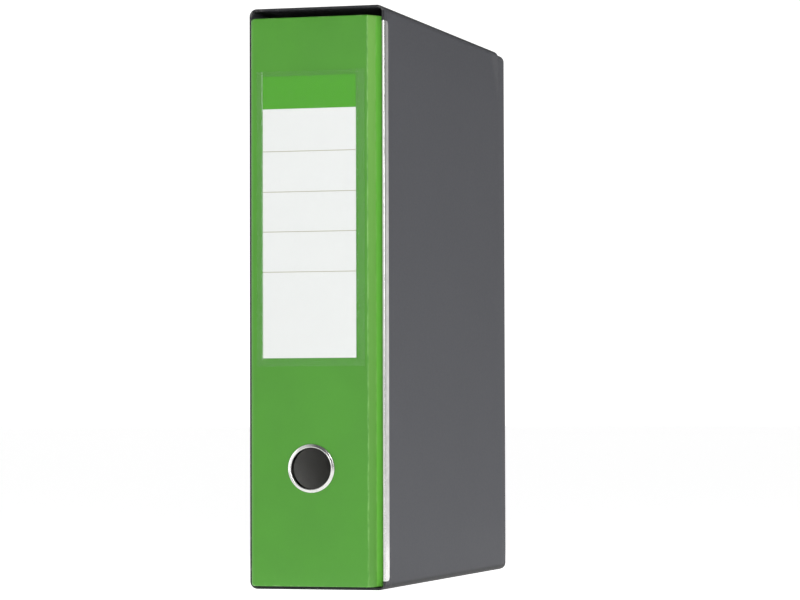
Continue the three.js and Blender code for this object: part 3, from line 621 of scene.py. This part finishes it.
def build_guard():
    """The nickel edge guard: sheet folded round the board's front edge, with rounded flange ends."""
    front = GUARD_LOW.y
    outer, inner, depth = GUARD_HIGH.x, GUARD_LOW.x, GUARD_HIGH.y - GUARD_LOW.y
    bend = 0.55

    def section(reach):
        """Outside then inside line of the U, with both flanges reaching this far back."""
        lines = []
        for offset in (0, GUARD_SHEET):
            radius = bend - offset * 0.9
            x0, x1, y0 = inner + offset, outer - offset, front + offset
            line = [(x1, front + reach)]
            line += [(x1, front + bend + (reach - bend) * s) for s in (0.75, 0.4)]
            for share in steps(6):
                angle = -share * QUARTER_TURN
                line.append((x1 - radius + radius * math.cos(angle), y0 + radius + radius * math.sin(angle)))
            for share in steps(6):
                angle = -QUARTER_TURN - share * QUARTER_TURN
                line.append((x0 + radius + radius * math.cos(angle), y0 + radius + radius * math.sin(angle)))
            line += [(x0, front + bend + (reach - bend) * s) for s in (0.4, 0.75)]
            line.append((x0, front + reach))
            lines.append(line)
        return lines[0] + lines[1][::-1]

    low, high = GUARD_LOW.z, GUARD_HIGH.z
    heights = [(low + GUARD_CORNER * (1 - math.cos(s * QUARTER_TURN)), math.sin(s * QUARTER_TURN)) for s in steps(6)]
    ends = [(low + high - z, share) for z, share in reversed(heights)]
    middle = [(low + GUARD_CORNER + (high - low - 2 * GUARD_CORNER) * s, 1.0) for s in steps(24)[1:-1]]
    rings = []
    for z, share in [*heights, *middle, *ends]:
        reach = depth - GUARD_CORNER * (1 - share)
        rings.append([(x, y, z) for x, y in section(reach)])
    points, faces, rows = loft(rings)
    half = len(rows[0]) // 2
    for row in (rows[0], rows[-1]):
        outside, inside = list(row)[:half], list(row)[half:][::-1]
        faces.extend(ladder(outside, inside, closed=False))
    return make_piece(
        "edge_guard", points, faces, "slipcase", ["case_edge_guard"], [NICKEL], 50,
    )


# ---- File cover and lining ----

COVER_ROUND = 0.9  # rounding of the laminated edges
LINE_CORNERS = [
    (COVER_LOW.x, COVER_HIGH.y),
    (COVER_LOW.x, COVER_LOW.y),
    (SPINE_RIGHT, COVER_LOW.y),
    HINGE_KNEE,
    (COVER_HIGH.x, HINGE_END),
    (COVER_HIGH.x, COVER_HIGH.y),
]
LINE_BENDS = [2.2, 0.8, 0.7, 0.8]
BEND_STEPS = 6
SPANS = [26, 22, 6, 6, 26]


def cover_line(depth, back):
    """Points along the cover's section at a depth below its outside, from rear edge to rear edge."""
    corners = [Vector(corner) for corner in LINE_CORNERS]
    corners[0].y = corners[-1].y = back
    headings = [(b - a).normalized() for a, b in zip(corners, corners[1:])]
    moved = []
    for index, corner in enumerate(corners):
        before = headings[max(index - 1, 0)]
        after = headings[min(index, len(headings) - 1)]
        inward = Vector((-before.y - after.y, before.x + after.x)).normalized()
        moved.append(corner + inward * (depth / inward.dot(Vector((-before.y, before.x)))))
    pieces = []
    entry = moved[0]
    for index, radius in enumerate(LINE_BENDS, start=1):
        before, after = headings[index - 1], headings[index]
        turn = before.angle(after)
        radius = max(radius - depth, 0.15)
        reach = radius * math.tan(turn / 2)
        start, end = moved[index] - before * reach, moved[index] + after * reach
        centre = start + Vector((-before.y, before.x)) * radius
        arc = []
        for share in steps(BEND_STEPS):
            angle = share * turn
            spoke = start - centre
            cos, sin = math.cos(angle), math.sin(angle)
            arc.append(centre + Vector((spoke.x * cos - spoke.y * sin, spoke.x * sin + spoke.y * cos)))
        pieces.append((entry, start, arc))
        entry = end
    line = []
    for index, (start, end, arc) in enumerate(pieces):
        length = (end - start).length
        if index == 0:
            shares = end_shares(length, SPANS[0])
        else:
            shares = fold_shares(length, SPANS[index])
        line.extend(start.lerp(end, share) for share in shares)
        line.extend(arc)
    shares = [1 - share for share in reversed(end_shares((moved[-1] - entry).length, SPANS[-1]))]
    line.extend(entry.lerp(moved[-1], share) for share in shares)
    return line


def fold_shares(length, count):
    """Shares of a straight stretch between two folds: evenly spaced, with two close to each fold."""
    near = min(0.5 / length, 0.1)
    middle = [3 * near + (1 - 6 * near) * s for s in steps(count)]
    return [near, *middle, 1 - near]


def end_shares(length, count):
    """Shares of a straight stretch from its free edge to a fold: close together on the rounded edge."""
    rounded = [COVER_ROUND * (1 - math.cos(s * QUARTER_TURN)) / length for s in steps(5)]
    near = 0.5 / length
    rest = [rounded[-1] + (1 - 3 * near - rounded[-1]) * s for s in steps(count)]
    return rounded + rest[1:] + [1 - near]


FOLD_LINES = [Vector(corner) for corner in LINE_CORNERS[1:-1]]
FOLD_DIP = 1.6  # how far the cover's top and bottom edges draw in at the spine's left fold


def from_fold(point, lines=FOLD_LINES):
    """The distance in plan from the nearest of the cover's folds."""
    return min((Vector((point.x, point.y)) - line).length for line in lines)


def edge_distances(line):
    """How far each point of the line is from its nearer free end."""
    along = [0.0]
    for a, b in zip(line, line[1:]):
        along.append(along[-1] + (b - a).length)
    return [min(s, along[-1] - s) for s in along]


def edge_inset(from_end, from_edge, rounding):
    """How much a sheet's face sinks near its rounded edges."""
    u = max(0.0, rounding - from_end)
    v = max(0.0, rounding - from_edge)
    return rounding - math.sqrt(max(0.0, rounding * rounding - u * u - v * v))


def folded_sheet(outside, inside, back, low, high, rounding, ripple):
    """A U-shaped sheet between two depths, with rounded edges. Its faces are grids of quads."""
    outer_line, inner_line = cover_line(outside, back), cover_line(inside, back)
    distances = edge_distances(outer_line)
    curl = [rounding * (1 - math.cos(s * QUARTER_TURN)) for s in steps(5)]
    heights = [low + z for z in curl]
    heights += [low + rounding + (high - low - 2 * rounding) * s for s in steps(30)[1:-1]]
    heights += [high - z for z in reversed(curl)]
    points = []
    for outward, line, other in ((0, outer_line, inner_line), (1, inner_line, outer_line)):
        for z in heights:
            for index, here in enumerate(line):
                inward = (other[index] - here).normalized()
                sink = edge_inset(distances[index], min(z - low, high - z), rounding)
                calm = smooth(1.5, 14.0, from_fold(here)) * smooth(0, 12.0, distances[index])
                wave = calm * ripple * (noise.noise((here.x * 0.02 + 7 * outward, here.y * 0.02, z * 0.012)) + 1) / 2
                place = here + inward * (sink + wave)
                dip = FOLD_DIP * (1 - smooth(0.0, 3.0, from_fold(here, FOLD_LINES[:1])))
                points.append((place.x, place.y, low + dip + (z - low) * (high - low - 2 * dip) / (high - low)))
    width, tall = len(outer_line), len(heights)

    def number(side, row, column):
        return (side * tall + row) * width + column

    faces = []
    for row in range(tall - 1):
        for column in range(width - 1):
            for side in (0, 1):
                faces.append((
                    number(side, row, column),
                    number(side, row, column + 1),
                    number(side, row + 1, column + 1),
                    number(side, row + 1, column),
                ))
    for row in (0, tall - 1):
        first = [number(0, row, column) for column in range(width)]
        second = [number(1, row, column) for column in range(width)]
        faces.extend(ladder(first, second, closed=False))
    for column in (0, width - 1):
        first = [number(0, row, column) for row in range(tall)]
        second = [number(1, row, column) for row in range(tall)]
        faces.extend(ladder(first, second, closed=False))
    return points, faces


def build_cover():
    points, faces = folded_sheet(
        0, COVER_THICKNESS, COVER_HIGH.y, COVER_LOW.z, COVER_HIGH.z, COVER_ROUND, ripple=0.10,
    )
    piece = make_piece(
        "file_cover", points, faces, "file",
        ["cover_wrap", "spine_board", "back_cover_board", "front_cover_board"], [GREEN_LAMINATE],
    )
    cutters = [drum(RING_CENTRE, (0, 1, 0), RING_OPENING, 12)]
    for low, high in RIVETS:
        centre = (low + high) / 2
        cutters.append(drum((COVER_LOW.x, centre.y, centre.z), (1, 0, 0), 4.2, 0.7, 48))
    carve(piece, *cutters)

    # Crease whitening and a painted highlight along the cover's folds.
    def crease_whitening_and_highlight(point):
        right = 0.5 * (1 - smooth(0.2, 0.9, from_fold(point, FOLD_LINES[1:])))
        left = 0.35 * (1 - smooth(0.3, 1.2, from_fold(point, FOLD_LINES[:1])))
        return max(right, left)

    def on_hinge(point):
        """How far back from the spine towards the knee, which is 1, a point of the hinge strip is; else 0."""
        if point.x < SPINE_RIGHT - 0.2:
            return 0.0
        return (point.y - COVER_LOW.y) / (HINGE_KNEE[1] - COVER_LOW.y)

    def bevel(point):
        """Painted light makes the strip's first bevel paler, palest at its top."""
        along = on_hinge(point)
        height = (point.z - COVER_LOW.z) / (COVER_HIGH.z - COVER_LOW.z)
        return (0.24 + 0.70 * height) * smooth(0.0, 0.08, along) * (1 - smooth(0.92, 1.05, along))

    def far_bevel_painted_light(point):
        """Painted light on the second bevel, up to its fold into the front cover."""
        return smooth(0.92, 1.05, on_hinge(point)) * (1 - smooth(HINGE_END + 0.2, HINGE_END + 1.2, point.y))

    # Rubbed wear and a painted edge highlight along the cover's top, bottom and rear edges.
    def wear(point):
        from_edge = min(point.z - COVER_LOW.z, COVER_HIGH.z - point.z, COVER_HIGH.y - point.y)
        return 1 - smooth(0.1, 1.0, from_edge)

    paint(piece, "crease_whitening_and_highlight", crease_whitening_and_highlight)
    paint(piece, "bevel", bevel)
    paint(piece, "far_bevel_painted_light", far_bevel_painted_light)
    paint(piece, "wear", wear)


def build_lining():
    points, faces = folded_sheet(
        COVER_THICKNESS + 0.03, COVER_THICKNESS + 0.26, LINING_HIGH.y, LINING_LOW.z, LINING_HIGH.z, 0.08, ripple=0.0,
    )
    piece = make_piece("inner_lining_paper", points, faces, "file", ["inner_lining"], [LINING_PAPER])
    carve(piece, drum(RING_CENTRE, (0, 1, 0), RING_OPENING, 12))


# ---- Spine fittings ----

def build_ring():
    """The finger ring: a flange that slopes up to one crest, rolled over it into a thin barrel."""
    outer = (RING_HIGH.x - RING_LOW.x) / 2
    hole = RING_HOLE
    front = RING_LOW.y - COVER_LOW.y
    end = RING_HIGH.y - COVER_LOW.y
    crest = hole + 0.75
    profile = [(hole, end), (hole, front + 1.5)]
    for share in steps(6):
        angle = share * QUARTER_TURN
        profile.append((crest - (crest - hole) * math.cos(angle), front + 1.2 * (1 - math.sin(angle))))
    profile += [
        (crest + 0.18, front + 0.08),
        (crest + 0.34, front + 0.24),
        (outer - 0.35, front + 0.62),
        (outer - 0.12, front + 0.74),
        (outer, front + 0.95),
        (outer - 0.05, -0.02),
        (outer - 0.5, 0.0),
        (hole + 0.75, 0.0),
        (hole + 0.7, 0.3),
        (hole + 0.7, end - 0.1),
        (hole + 0.6, end),
    ]
    centre = (RING_CENTRE.x, COVER_LOW.y, RING_CENTRE.z)
    points, faces = turned(profile, centre, (0, 1, 0), 128)
    make_piece("finger_ring_rolled", points, faces, "file", ["finger_ring"], [NICKEL], 60)

    low, high = box_mm("finger_ring_washer")
    rim = (high.x - low.x) / 2
    back, thick = low.y - COVER_LOW.y, high.y - low.y
    profile = [
        (hole + 0.95, back),
        (hole + 0.95, back + thick - 0.1),
        (hole + 1.05, back + thick),
        (rim - 0.5, back + thick),
        (rim - 0.15, back + thick - 0.12),
        (rim, back + 0.15),
        (rim - 0.05, back),
    ]
    points, faces = turned(profile, centre, (0, 1, 0), 96)
    make_piece("finger_ring_back_washer", points, faces, "file", ["finger_ring_washer"], [NICKEL], 40)


HEADER_FROM = 288.5
RULES = [262.9, 238.5, 214.5, 190.3]
RULE_WIDTH = 0.45
CARD_FRONT = 0.36  # the card's face, in front of the spine
CARD_BACK = 0.08


def build_card():
    """The label card: printed bands are strips of faces of their own, so their edges stay crisp."""
    low, high = CARD_LOW.z, CARD_HIGH.z
    bands = [(low, None)]
    for rule in reversed(RULES):
        bands += [(rule - RULE_WIDTH / 2, LABEL_RULE), (rule + RULE_WIDTH / 2, None)]
    bands += [(HEADER_FROM, LABEL_GREEN), (high, None)]
    materials = [LABEL_PAPER, LABEL_RULE, LABEL_GREEN]
    spine = COVER_LOW.y
    across = steps(12)
    points, faces, kinds = [], [], []
    edge = 0.06

    def bend(share, z):
        """The card rises a little in the middle of its pocket."""
        rise = (z - low) / (high - low)
        return 0.05 * math.sin(share * HALF_TURN) * math.sin(rise * HALF_TURN)

    rows = []
    for z, _ in bands:
        front_row, back_row = [], []
        for share in across:
            x = CARD_LOW.x + edge + (CARD_HIGH.x - CARD_LOW.x - 2 * edge) * share
            lift = bend(share, z)
            front_row.append(len(points))
            points.append((x, spine - CARD_FRONT - lift, z))
            back_row.append(len(points))
            points.append((x, spine - CARD_BACK - lift, z))
        rows.append((front_row, back_row))
    for (start, ink), (first, second) in zip(bands, zip(rows, rows[1:])):
        kind = materials.index(ink) if ink else 0
        front = ladder(first[0], second[0], closed=False)
        back = ladder(first[1], second[1], closed=False)
        faces += front + back
        kinds += [kind] * len(front) + [0] * len(back)
        for column in (0, -1):
            faces.append((first[0][column], second[0][column], second[1][column], first[1][column]))
            kinds.append(kind)
    for row in (rows[0], rows[-1]):
        strip = ladder(row[0], row[1], closed=False)
        faces += strip
        kinds += [0] * len(strip)
    make_piece(
        "label_card_printed", points, faces, "file", ["label_card"], materials, 40, kinds,
    )


WELD_LEFT = 2.6
WELD_RIGHT = 3.8
WELD_FOOT = 2.4
FILM = 0.14


def build_pocket():
    """The clear pocket: film that stands over the card and runs down to welded bands at its edges."""
    spine = COVER_LOW.y
    x0, x1 = POCKET_LOW.x, POCKET_HIGH.x
    z0, z1 = POCKET_LOW.z, POCKET_HIGH.z
    flat = 0.03
    crown = 0.50  # how far the film stands over the card

    def rise(x, z):
        left = smooth(x0 + WELD_LEFT, x0 + WELD_LEFT + 1.4, x)
        right = 1 - smooth(x1 - WELD_RIGHT - 1.4, x1 - WELD_RIGHT, x)
        foot = smooth(z0 + WELD_FOOT, z0 + WELD_FOOT + 1.8, z)
        height = flat + (crown - flat) * left * right * foot
        for line in (x0 + 0.45, x0 + WELD_LEFT - 0.1, x1 - WELD_RIGHT + 0.1, x1 - 0.4):
            height += 0.07 * math.exp(-(((x - line) / 0.3) ** 2))
        height += 0.03 * noise.noise((x * 0.05, z * 0.03, 3.0)) * left * right
        return height

    def places(start, end, marks, spacing):
        """Stops from start to end, close together round the marks."""
        stops = {start, end}
        count = int((end - start) / spacing)
        stops |= {start + (end - start) * s for s in steps(count)}
        for mark in marks:
            stops |= {min(max(mark + d * 0.14, start), end) for d in range(-5, 6)}
        return sorted(stops)

    across_marks = [
        x0 + 0.45, x0 + WELD_LEFT - 0.1, x0 + WELD_LEFT + 1,
        x1 - WELD_RIGHT - 1, x1 - WELD_RIGHT + 0.1, x1 - 0.4,
    ]
    columns = places(x0, x1, across_marks, 6)
    levels = places(z0, z1, [z0 + WELD_FOOT, z0 + WELD_FOOT + 1, z0 + WELD_FOOT + 1.8], 9)
    points = []
    for thick in (FILM, 0):
        for z in levels:
            points.extend((x, spine - rise(x, z) - thick, z) for x in columns)
    width, tall = len(columns), len(levels)

    def number(side, row, column):
        return (side * tall + row) * width + column

    faces = []
    for side in (0, 1):
        for row in range(tall - 1):
            first = [number(side, row, column) for column in range(width)]
            second = [number(side, row + 1, column) for column in range(width)]
            faces += ladder(first, second, closed=False)
    for row in (0, tall - 1):
        faces += ladder(
            [number(0, row, column) for column in range(width)],
            [number(1, row, column) for column in range(width)],
            closed=False,
        )
    for column in (0, width - 1):
        faces += ladder(
            [number(0, row, column) for row in range(tall)],
            [number(1, row, column) for row in range(tall)],
            closed=False,
        )
    piece = make_piece("label_pocket_film", points, faces, "file", ["label_pocket"], [CLEAR_FILM], 50)

    def weld(point):
        left = 1 - smooth(x0 + WELD_LEFT - 0.3, x0 + WELD_LEFT + 0.3, point.x)
        right = smooth(x1 - WELD_RIGHT - 0.3, x1 - WELD_RIGHT + 0.3, point.x)
        foot = 1 - smooth(z0 + WELD_FOOT - 0.3, z0 + WELD_FOOT + 0.3, point.z)
        return max(left, right, foot)

    paint(piece, "weld", weld)


# ---- CAD pieces that keep their own meshes ----

CAD_FINISH = {
    NICKEL: [
        "mechanism_plate", "rivet_1", "rivet_2", "rivet_3", "rivet_4", "post_lower", "post_upper",
        "arch_saddle_lower", "arch_saddle_upper", "arch_wire", "lever_bracket", "lever", "compressor_bar",
    ],
    SPRING_STEEL: ["lever_pin", "leaf_spring", "roller_pin", "lever_roller"],
    BLACK_PLASTIC: ["lever_grip", "compressor_slider_lower", "compressor_slider_upper"],
}


def dress_cad_nodes():
    """Gives the CAD nodes that stay in view their materials and softly broken edges."""
    for material, names in CAD_FINISH.items():
        for name in names:
            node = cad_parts[name]
            node.data.materials.clear()
            node.data.materials.append(material)
            node.data.shade_smooth()
            node.data.set_sharp_from_angle(angle=math.radians(40))
            bevel = node.modifiers.new("soft_edges", "BEVEL")
            bevel.width = 0.22 * MM
            bevel.segments = 2
            bevel.limit_method = "ANGLE"
            bevel.angle_limit = math.radians(40)
            bevel.harden_normals = True


# ---- Camera, light and floor ----

CAMERA_YAW = math.radians(16.16)  # to the right of the spine's front
CAMERA_TILT = math.radians(1.97)  # looking up
CAMERA_ROLL = math.radians(-0.16)
CAMERA_DISTANCE = 2.158
CAMERA_SIDE = 0.0095
CAMERA_RISE = 0.0031
LENS = 151.4

# The studio's glow: a base, and lobes as (direction, cosine where it starts, cosine where it is full, amount).
BASE_GLOW = 0.16
STUDIO_LOBES = [
    ((-0.28, 0.96, 0.02), 0.80, 0.93, 1.0),  # the white backdrop behind the object
    ((0.27, 0.83, -0.50), 0.79, 0.866, 0.65),  # its low end at the right
    ((-1.0, -0.05, 0.2), 0.25, 0.75, 0.80),  # a white wall at the left
    ((-0.28, -0.96, 0.0), 0.88, 0.96, 0.60),  # a pale wall behind the camera
    ((1.0, -0.25, -0.2), 0.75, 0.92, 0.35),  # a grey wall at the right
]
# Lights: name, degrees round from the spine's front towards +X, height, distance, size, power in watts.
LIGHTS = [
    ("key_light", 18, 0.50, 1.6, (0.5, 0.6), 11),
    ("left_softbox", -58, 0.20, 0.7, (0.4, 0.6), 0.85),
]
INSIDE_PLACE, INSIDE_AIM = (0.022, -0.07, 0.072), (-0.038, -0.025, 0.072)
INSIDE_POWER = 0.002  # a trace of light behind the finger ring
FLOOR_GLOW = 0.58
FLOOR_PAINTED_POOL = 0.9  # a painted pool of light: how much brighter the floor glows beside the slipcase's right side
FLOOR_POOL_PLACE = (0.32, 0.05, 0.0)


def build_camera():
    back = Vector((
        math.sin(CAMERA_YAW) * math.cos(CAMERA_TILT),
        -math.cos(CAMERA_YAW) * math.cos(CAMERA_TILT),
        -math.sin(CAMERA_TILT),
    ))
    level = Vector((math.cos(CAMERA_YAW), math.sin(CAMERA_YAW), 0))
    upright = back.cross(level)
    right = level * math.cos(CAMERA_ROLL) + upright * math.sin(CAMERA_ROLL)
    up = upright * math.cos(CAMERA_ROLL) - level * math.sin(CAMERA_ROLL)
    middle = Vector((0, 0, (CASE_BOTTOM + CASE_TOP) / 2 * MM))
    place = middle + back * CAMERA_DISTANCE + right * CAMERA_SIDE + up * CAMERA_RISE
    data = bpy.data.cameras.new("camera")
    data.lens = LENS
    data.sensor_width = 36
    data.clip_end = 100
    camera = bpy.data.objects.new("camera", data)
    turn = Matrix((right, up, back)).transposed().to_4x4()
    camera.matrix_world = Matrix.Translation(place) @ turn
    bpy.context.scene.collection.objects.link(camera)
    bpy.context.scene.camera = camera


def area_light(name, place, aim, size, power, colour=(1, 1, 1)):
    data = bpy.data.lights.new(name, "AREA")
    data.shape = "RECTANGLE"
    data.size, data.size_y = size
    data.energy = power
    data.color = colour
    light = bpy.data.objects.new(name, data)
    direction = Vector(aim) - Vector(place)
    light.matrix_world = Matrix.Translation(place) @ direction.to_track_quat("-Z", "Y").to_matrix().to_4x4()
    bpy.context.scene.collection.objects.link(light)
    return light


def lobe(nodes, links, direction, toward, start, end, amount):
    """How much brighter the studio is towards a direction: nothing before start, amount past end."""
    dot = nodes.new("ShaderNodeVectorMath")
    dot.operation = "DOT_PRODUCT"
    links.new(direction, dot.inputs[0])
    dot.inputs[1].default_value = Vector(toward).normalized()
    rise = nodes.new("ShaderNodeMapRange")
    rise.interpolation_type = "SMOOTHSTEP"
    links.new(dot.outputs["Value"], rise.inputs["Value"])
    for socket, number in zip(("From Min", "From Max", "To Min", "To Max"), (start, end, 0, amount)):
        rise.inputs[socket].default_value = number
    return rise.outputs["Result"]


def build_studio():
    scene = bpy.context.scene
    scene.view_settings.view_transform = "Standard"
    world = bpy.data.worlds.new("studio")
    world.use_nodes = True
    scene.world = world
    nodes, links = world.node_tree.nodes, world.node_tree.links
    backdrop = nodes["Background"]
    direction = nodes.new("ShaderNodeTexCoord").outputs["Generated"]
    strength = BASE_GLOW
    for toward, start, end, amount in STUDIO_LOBES:
        total = nodes.new("ShaderNodeMath")
        total.operation = "ADD"
        links.new(lobe(nodes, links, direction, toward, start, end, amount), total.inputs[0])
        if isinstance(strength, float):
            total.inputs[1].default_value = strength
        else:
            links.new(strength, total.inputs[1])
        strength = total.outputs[0]
    links.new(strength, backdrop.inputs["Strength"])
    backdrop.inputs["Color"].default_value = (1, 1, 1, 1)

    middle = (0, 0, 0.18)
    for name, azimuth, height, distance, size, power in LIGHTS:
        turn = math.radians(azimuth)
        place = (math.sin(turn) * distance, -math.cos(turn) * distance, height)
        area_light(name, place, middle, size, power)
    area_light("inside_fill", INSIDE_PLACE, INSIDE_AIM, (0.03, 0.03), INSIDE_POWER)

    bpy.ops.mesh.primitive_plane_add(size=60, location=(0, 0, 0))
    floor = bpy.context.object
    floor.name = "floor"
    paper = Shader("floor_paper", Roughness=0.9, Specular_IOR_Level=0.1)
    paper.surface.inputs["Emission Color"].default_value = (1, 1, 1, 1)
    distance = paper.node("ShaderNodeVectorMath", operation="DISTANCE")
    paper.feed(distance.inputs[0], paper.place)
    distance.inputs[1].default_value = FLOOR_POOL_PLACE
    # painted light: the floor glows brighter in a pool beside the slipcase's right side
    painted_light_pool = paper.spread(distance.outputs["Value"], 0.12, 0.6, FLOOR_GLOW + FLOOR_PAINTED_POOL, FLOOR_GLOW)
    paper.feed(paper.surface.inputs["Emission Strength"], painted_light_pool)
    grain = paper.noise(400, 3)
    paper.colour(paper.mix(grain, (0.90, 0.90, 0.90), (0.93, 0.93, 0.93)))
    floor.data.materials.append(paper.material)


build_camera()
build_studio()
build_slipcase()
build_guard()
build_cover()
build_lining()
build_ring()
build_card()
build_pocket()
dress_cad_nodes()
